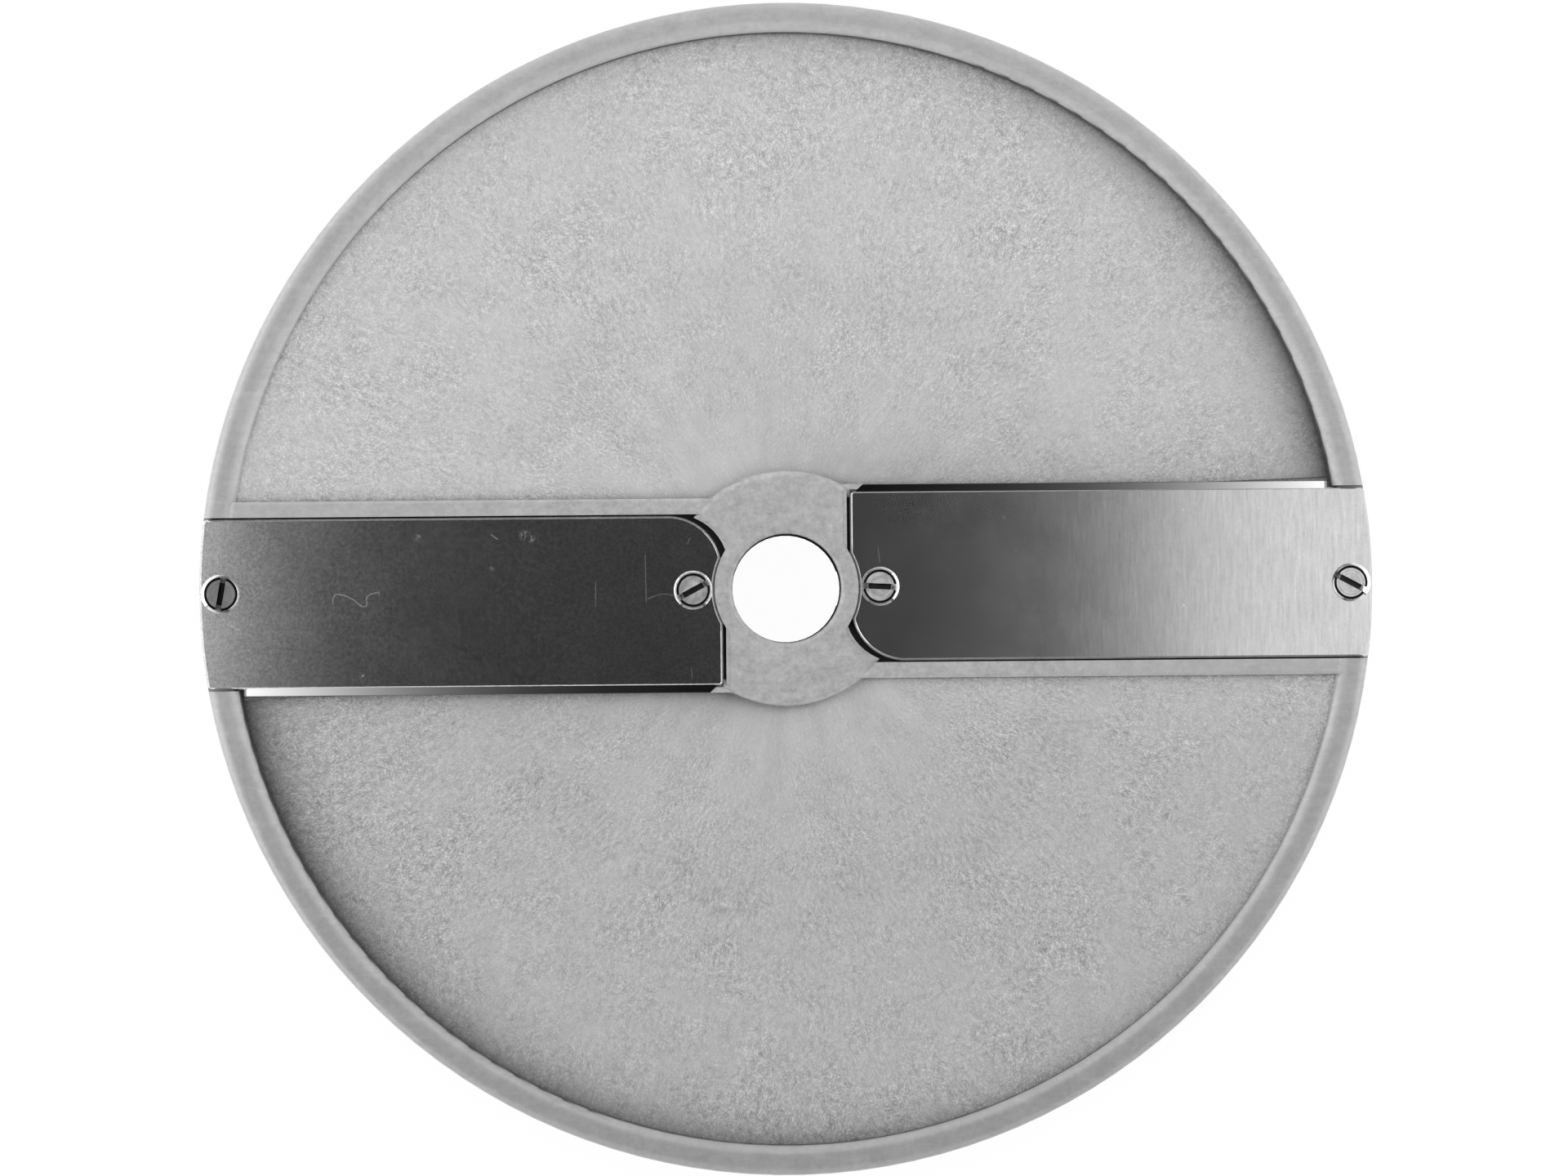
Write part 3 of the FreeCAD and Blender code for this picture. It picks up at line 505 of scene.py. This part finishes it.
class ScrewedSteel(Shader):
    """Steel of the blades and the screws, which knows where the screws are."""

    def screw_gaps(self, node):
        """Distances from that screw's axis and from the middle of its slot, in mm."""
        low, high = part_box(node)
        centre = (low + high) / (2.0 * MM)
        turn = math.radians(SLOT_ANGLES[node])
        out_x = self.less(self.x, centre.x)
        out_y = self.less(self.y, centre.y)
        beside = self.total(self.product(out_x, -math.sin(turn)), self.product(out_y, math.cos(turn)))
        return self.flat_length(out_x, out_y), self.math("ABSOLUTE", beside)

    def stroke(self, start, end, half_width):
        """1 on the straight line from start to end, falling to 0 at its sides."""
        run_x = end[0] - start[0]
        run_y = end[1] - start[1]
        squared = run_x ** 2 + run_y ** 2
        out_x = self.less(self.x, start[0])
        out_y = self.less(self.y, start[1])
        along = self.math("ADD", self.product(out_x, run_x / squared),
                          self.product(out_y, run_y / squared), clamp=True)
        rest_x = self.less(out_x, self.product(along, run_x))
        rest_y = self.less(out_y, self.product(along, run_y))
        return self.ramp(self.flat_length(rest_x, rest_y), 0.0, half_width, 1.0, 0.0)

    def strokes(self, lines, half_width):
        """1 on any of the lines, each a chain of points, and only on the top face."""
        pieces = []
        for line in lines:
            chain = smoothed(line, 2)
            pieces += [self.stroke(start, end, half_width) for start, end in zip(chain, chain[1:])]
        on_top = self.math("GREATER_THAN", self.z, TOP_MM - 0.05)
        return self.product(self.highest(*pieces), on_top)

    def smudges(self, spots):
        """1 in the middle of any of the spots."""
        mask = 0.0
        for spot_x, spot_y, spot_radius in spots:
            away = self.flat_length(self.less(self.x, spot_x), self.less(self.y, spot_y))
            mask = self.highest(mask, self.ramp(away, 0.0, spot_radius, 1.0, 0.0))
        return mask


def smoothed(points, steps):
    """Points along a smooth curve through the given ones."""
    if len(points) < 3:
        return points
    padded = [points[0], *points, points[-1]]
    curve = []
    for before, start, end, after in zip(padded, padded[1:], padded[2:], padded[3:]):
        for step in range(steps):
            part = step / steps
            curve.append(tuple(
                0.5 * (2 * b + (c - a) * part + (2 * a - 5 * b + 4 * c - d) * part ** 2
                       + (3 * b - a - 3 * c + d) * part ** 3)
                for a, b, c, d in zip(before, start, end, after)
            ))
    return curve + [points[-1]]


def make_blade_steel(side, tint, ground_depth, satin_depth, anisotropy):
    """Stainless steel, ground across the blade along Y, or satin all over."""
    shader = ScrewedSteel(f"steel_{side}")
    x, y, z = shader.x, shader.y, shader.z
    fine = shader.drawn_noise(x, FINE_LINE_MM[0], y, FINE_LINE_MM[1], z, 3.0, 0.6)
    lines = shader.drawn_noise(x, COARSE_LINE_MM[0], y, COARSE_LINE_MM[1], z, 3.0, 0.6)
    haze = shader.noise(shader.place, 0.12, 4.0, 0.65)
    grain = shader.noise(shader.place, 2.3, 2.0, 0.7)
    outward = shader.ramp(shader.math("ABSOLUTE", x), 25.0, 95.0, 0.2, 1.0)
    ground = shader.total(shader.centred(lines, 14.0), shader.centred(fine, 9.0))
    ground = shader.product(ground, outward, ground_depth)
    satin = shader.centred(grain, satin_depth)
    colour = shader.total(ground, satin, tint, shader.spread(haze, -0.02, 0.02))

    # Small pits and grains of dirt, in about a quarter of the cells
    cells = shader.add("ShaderNodeTexVoronoi", {"Vector": shader.place, "Scale": 0.3})
    chance = shader.separate(cells.outputs["Color"])
    speck = shader.product(shader.ramp(cells.outputs["Distance"], 0.02, 0.05, 1.0, 0.0),
                           shader.math("GREATER_THAN", chance[0], 0.72))
    tone = shader.span(chance[1], 0.0, 1.0, -0.6, 0.8)
    colour = shader.product(colour, shader.math("MULTIPLY_ADD", speck, tone, 1.0))

    # Painted shade at the foot of the countersinks, broken where the slot ends
    for end in ("inner", "outer"):
        gap, beside = shader.screw_gaps(f"screw_{side}_{end}")
        foot = shader.ramp(gap, HEAD_RADIUS_MM + 0.18, HEAD_RADIUS_MM + 0.30, 1.0, 0.0)
        unbroken = shader.ramp(beside, SLOT_HALF_WIDTH_MM, SLOT_HALF_WIDTH_MM + 0.2)
        colour = shader.darkened(colour, shader.product(foot, unbroken), FOOT_SHADE_DARKNESS)

    smudge = shader.product(shader.smudges(SMUDGES_MM[side]), shader.ramp(grain, 0.4, 0.6))
    dull = shader.highest(
        shader.product(shader.strokes(SCRATCHES_MM[side], SCRATCH_HALF_WIDTH_MM), SCRATCH_DULLNESS),
        shader.product(shader.strokes(LINT_MM[side], LINT_HALF_WIDTH_MM), LINT_DULLNESS),
        shader.product(smudge, SMUDGE_DULLNESS),
    )
    roughness = shader.math("MULTIPLY_ADD", smudge, 0.05, shader.spread(haze, *BLADE_ROUGHNESS))
    return shader.surface(
        shader.grey(colour),
        roughness,
        shader.bump(shader.product(fine, 0.001)),
        Metallic=shader.less(1.0, dull),
        Anisotropic=anisotropy,
        Tangent=shader.add("ShaderNodeTangent", direction_type="RADIAL", axis="Y").outputs[0],
    )


def make_screw_steel(node, tone):
    """Turned steel head: rings about its axis, with painted shade on its edge and in its slot."""
    shader = ScrewedSteel(node)
    gap = shader.screw_gaps(node)[0]
    ring_place = shader.combine(shader.math("DIVIDE", gap, 0.35), 0.0, tone * 10.0)
    rings = shader.noise(ring_place, 1.0, 3.0, 0.6)
    stain = shader.noise(shader.place, 0.9, 3.0, 0.6)
    colour = shader.product(shader.ramp(rings, 0.35, 0.65, tone * 0.80, tone * 1.12),
                            shader.spread(stain, 0.85, 1.05))
    edge = shader.ramp(gap, HEAD_RADIUS_MM - 0.26, HEAD_RADIUS_MM - 0.16)
    in_slot = shader.product(
        shader.ramp(shader.z, HEAD_TOP_MM - 0.25, HEAD_TOP_MM - 0.08, 1.0, 0.0),
        shader.ramp(gap, 1.9, 2.2, 1.0, 0.0),
    )
    # Painted shade on the head's edge and in its slot
    colour = shader.darkened(colour, shader.highest(edge, in_slot), HEAD_SHADE_DARKNESS)
    normal = shader.bump(shader.product(rings, 0.012), 0.6)
    return shader.surface(shader.grey(colour), shader.spread(stain, 0.34, 0.42), normal, Metallic=1.0)


def make_brass(name, colour):
    """Brass of the turned inserts, with faint tool marks."""
    shader = Shader(name)
    marks = shader.noise(shader.place, 2.4, 3.0, 0.6)
    tone = shader.spread(marks, 0.92, 1.04)
    red, green, blue = (shader.product(tone, part) for part in colour)
    normal = shader.bump(shader.product(marks, 0.01), 0.4)
    colour = shader.combine(red, green, blue)
    return shader.surface(colour, shader.spread(marks, 0.25, 0.35), normal, Metallic=1.0)


def dress(node, material):
    slots = nodes[node].material_slots
    if not slots:
        nodes[node].data.materials.append(material)
    for slot in slots:
        slot.material = material


BRASS_COLOUR = (0.75, 0.60, 0.30)
SCREW_TONES = {
    "screw_right_inner": 0.80,
    "screw_right_outer": 0.76,
    "screw_left_inner": 0.72,
    "screw_left_outer": 0.32,
}

dress("disc_body", Moulding().make())
dress("blade_right", make_blade_steel(
    "right", tint=0.65, ground_depth=0.022, satin_depth=0.14, anisotropy=0.5))
dress("blade_left", make_blade_steel(
    "left", tint=0.76, ground_depth=0.0, satin_depth=0.80, anisotropy=0.1))
for node, tone in SCREW_TONES.items():
    dress(node, make_screw_steel(node, tone))
insert_brass = make_brass("insert_brass", BRASS_COLOUR)
for node in nodes:
    if node.startswith("insert_"):
        dress(node, insert_brass)


# Table: white to the camera beyond the disc and through the bore, with a painted shadow that darkens it
# under the disc, and clear from below so that the underside can be looked at
TABLE_SIZE = 8.0
WHITE_RADIUS_MM = 97.0
WHITE_FALLOFF = 5.2
BORE_PATCH_MM = 11.0
WHITE_STRENGTH = 1.02
WHITE_SHARE = 0.96


def make_table():
    shader = Shader("table_white")
    radius = shader.flat_length(shader.x, shader.y)
    # Painted shadow under the disc: the white's share falls away towards the hub
    share_of_radius = shader.math("DIVIDE", radius, WHITE_RADIUS_MM)
    beyond = shader.math("POWER", share_of_radius, WHITE_FALLOFF, clamp=True)
    in_bore = shader.math("LESS_THAN", radius, BORE_PATCH_MM)
    rays = shader.add("ShaderNodeLightPath").outputs
    seen = shader.highest(rays["Is Camera Ray"], rays["Is Glossy Ray"], rays["Is Transmission Ray"])
    shown = shader.highest(shader.product(seen, beyond), shader.product(in_bore, rays["Is Camera Ray"]))
    white = shader.add("ShaderNodeEmission", {"Color": (1, 1, 1, 1), "Strength": WHITE_STRENGTH})
    # Matte grey with a painted shadow of the disc: darkest at the hub, paler outwards
    tone = shader.total(shader.span(radius, 15.0, 95.0, 0.08, 0.35),
                        shader.ramp(radius, 98.0, 115.0, 0.0, 0.5))
    matte = shader.add("ShaderNodeBsdfDiffuse", {"Color": shader.grey(tone)})
    share = shader.product(shown, WHITE_SHARE)
    top = shader.add("ShaderNodeMixShader", {0: share, 1: matte.outputs[0], 2: white.outputs[0]})
    below = shader.add("ShaderNodeNewGeometry").outputs["Backfacing"]
    clear = shader.add("ShaderNodeBsdfTransparent")
    sided = shader.add("ShaderNodeMixShader", {0: below, 1: top.outputs[0], 2: clear.outputs[0]})
    shader.tree.links.new(sided.outputs[0], shader.output.inputs["Surface"])
    bpy.ops.mesh.primitive_plane_add(size=TABLE_SIZE, location=(0, 0, DISC_LOW.z))
    table = bpy.context.object
    table.name = "table"
    table.data.materials.append(shader.material)


make_table()


# Light: soft panels on all four sides, each on a bearing from the disc in degrees
RIGHT = 0
FAR = 90
LEFT = 180
NEAR = 270


def add_panel(name, bearing, inner_top, outer_low, depth, radiance, shift_y=0.0):
    """Area light on that bearing, between inner_top and outer_low, each given as
    (distance from the axis, height)."""
    angle = math.radians(bearing)
    way = Vector((math.cos(angle), math.sin(angle), 0))
    inner = way * inner_top[0] + Vector((0, 0, inner_top[1]))
    outer = way * outer_low[0] + Vector((0, 0, outer_low[1]))
    span = outer - inner
    light = bpy.data.lights.new(name, "AREA")
    light.shape = "RECTANGLE"
    light.size = span.length
    light.size_y = depth
    light.energy = radiance * math.pi * span.length * depth
    panel = bpy.data.objects.new(name, light)
    across = span.normalized()
    along = Vector((-way.y, way.x, 0))
    back = across.cross(along)
    if back.dot(way) < 0:
        along = -along
        back = -back
    turn = Matrix((across, along, back)).transposed()
    middle = (inner + outer) / 2 + Vector((0, shift_y, 0))
    panel.matrix_world = Matrix.Translation(middle) @ turn.to_4x4()
    panel.visible_camera = False
    scene.collection.objects.link(panel)


add_panel("panel_right_high", RIGHT, (0.14, 0.80), (0.42, 0.50), 0.45, 1.03, 0.12)
add_panel("panel_left_high", LEFT, (0.20, 0.80), (0.42, 0.50), 0.45, 0.92, 0.12)
add_panel("panel_right_middle", RIGHT, (0.42, 0.46), (0.45, 0.28), 0.6, 2.0, 0.16)
add_panel("panel_left_middle", LEFT, (0.42, 0.46), (0.45, 0.28), 0.6, 2.0, 0.16)
add_panel("panel_right_low", RIGHT, (0.46, 0.26), (0.46, 0.01), 1.0, 2.6, 0.05)
add_panel("panel_left_low", LEFT, (0.46, 0.26), (0.46, 0.01), 1.0, 3.4)
add_panel("panel_far_high", FAR, (0.16, 0.60), (0.40, 0.42), 0.6, 1.5)
add_panel("panel_far_low", FAR, (0.44, 0.36), (0.46, 0.02), 0.6, 1.2)
add_panel("panel_near_low", NEAR, (0.44, 0.30), (0.46, 0.02), 0.9, 1.6)

# Room: dim, but white where the camera looks past the table
ROOM_STRENGTH = 0.03


def make_room():
    world = bpy.data.worlds.new("room")
    world.use_nodes = True
    tree = world.node_tree
    background = tree.nodes["Background"]
    background.inputs["Color"].default_value = (1, 1, 1, 1)
    rays = tree.nodes.new("ShaderNodeLightPath").outputs
    strength = tree.nodes.new("ShaderNodeMath")
    strength.operation = "MAXIMUM"
    strength.inputs[1].default_value = ROOM_STRENGTH
    tree.links.new(rays["Is Camera Ray"], strength.inputs[0])
    tree.links.new(strength.outputs[0], background.inputs["Strength"])
    scene.world = world


make_room()


# Camera: almost straight above the hub, rolled a little
PHOTO_WIDTH_PX = 1920
MM_PER_PX = 0.14266
FOCUS_LEVEL_MM = 16.8
DISTANCE_MM = 750.0
ROLL_DEGREES = 0.49
STANDPOINT_MM = (-8.0, -6.0)
AIM_MM = (-0.44, 0.05)
SENSOR_MM = 36.0


def add_camera():
    data = bpy.data.cameras.new("camera")
    data.sensor_width = SENSOR_MM
    data.lens = SENSOR_MM * DISTANCE_MM / (MM_PER_PX * PHOTO_WIDTH_PX)
    camera = bpy.data.objects.new("camera", data)
    stand = Vector((*STANDPOINT_MM, FOCUS_LEVEL_MM + DISTANCE_MM)) * MM
    aim = Vector((*AIM_MM, FOCUS_LEVEL_MM)) * MM
    roll = math.radians(ROLL_DEGREES)
    back = (stand - aim).normalized()
    right = Vector((math.cos(roll), -math.sin(roll), 0))
    right = (right - back * right.dot(back)).normalized()
    up = back.cross(right)
    turn = Matrix((right, up, back)).transposed()
    camera.matrix_world = Matrix.Translation(stand) @ turn.to_4x4()
    scene.collection.objects.link(camera)
    scene.camera = camera


add_camera()
scene.view_settings.view_transform = "Standard"
